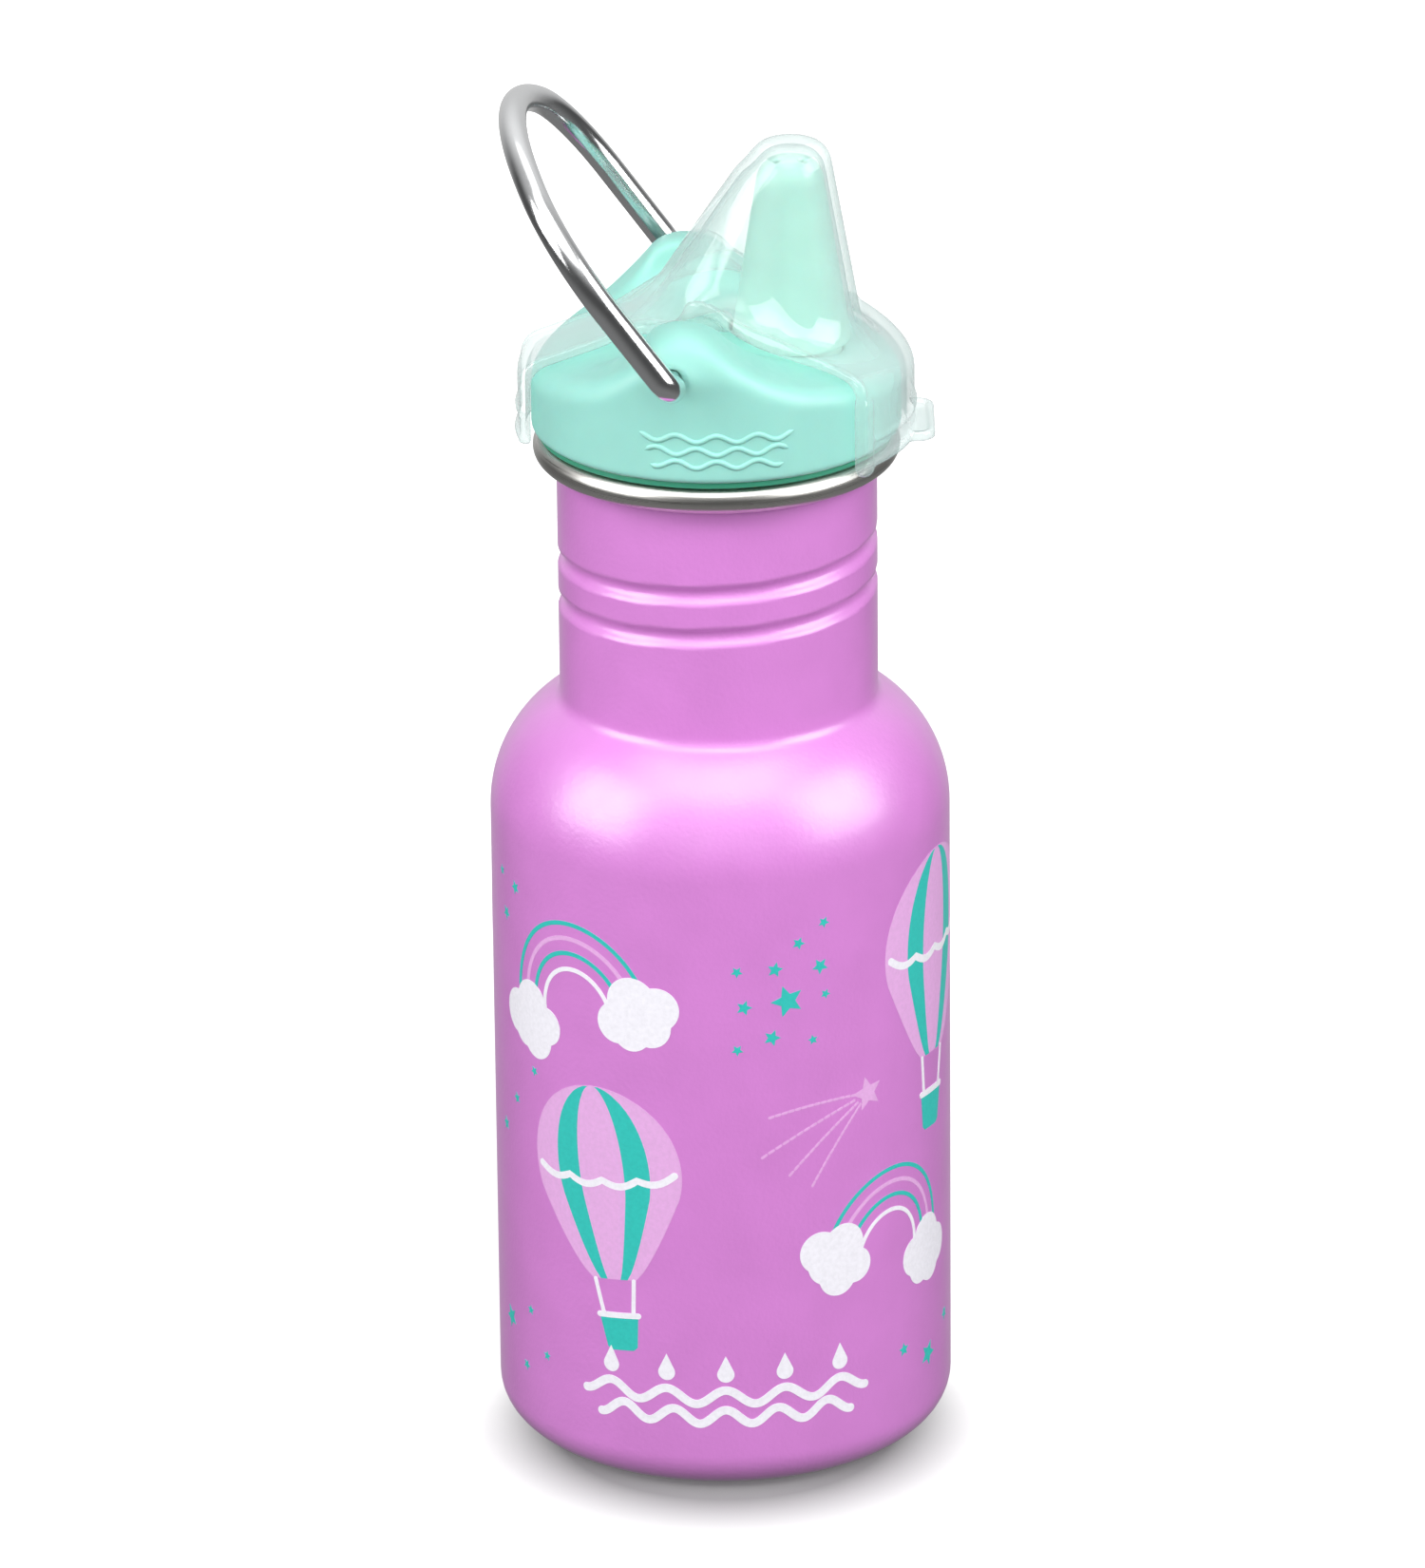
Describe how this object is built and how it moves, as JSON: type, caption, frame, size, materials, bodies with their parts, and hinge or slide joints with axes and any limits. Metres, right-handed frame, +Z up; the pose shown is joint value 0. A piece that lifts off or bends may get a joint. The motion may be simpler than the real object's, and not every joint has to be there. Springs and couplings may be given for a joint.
{
  "type": "kids water bottle",
  "caption": "Small single-wall steel bottle with a narrow threaded neck, screw-in sippy cap with a swinging ring handle, soft spout and lift-off clear dust cover.",
  "frame": {"origin": "centre of the bottle's resting plane, on the bottle's axis", "axes": "+Z up along the bottle's axis; +X towards the spout and the cover's thumb tab; the handle pivots about a line parallel to Y"},
  "size_m": [0.066, 0.0666, 0.1998],
  "materials": {
    "powder_coat": "satin orchid powder coat with a fine orange-peel texture",
    "bare_steel": "bare stainless steel, lightly polished",
    "seal_silicone": "soft mint silicone",
    "cap_plastic": "satin mint polypropylene",
    "spout_silicone": "soft mint silicone, slightly matt",
    "polished_wire": "polished stainless wire",
    "clear_plastic": "clear, slightly milky polypropylene"
  },
  "bodies": {
    "bottle": {"bottle_shell": "powder_coat", "base_plate": "bare_steel"},
    "seal": {"cap_seal": "seal_silicone"},
    "cap": {"cap_body": "cap_plastic", "spout": "spout_silicone"},
    "handle": {"ring_handle": "polished_wire"},
    "cover": {"dust_cover": "clear_plastic"}
  },
  "joints": [
    {"name": "cap_lift", "type": "slide", "parent": "bottle", "child": "seal", "axis": [0, 0, 1], "range_m": [0, 0.027]},
    {"name": "cap_turn", "type": "hinge", "parent": "seal", "child": "cap", "pos_m": [0, 0, 0.15], "axis": [0, 0, 1], "range_deg": [0, 1530]},
    {"name": "handle_swing", "type": "hinge", "parent": "cap", "child": "handle", "pos_m": [-0.0061, 0, 0.1675], "axis": [0, 1, 0], "range_deg": [-111, 134]},
    {"name": "cover_lift", "type": "slide", "parent": "cap", "child": "cover", "axis": [0, 0, 1], "range_m": [0, 0.028]}
  ],
  "couplings": [
    {"joint": "cap_lift", "follows": "cap_turn", "m_per_rad": 0.0010106}
  ]
}
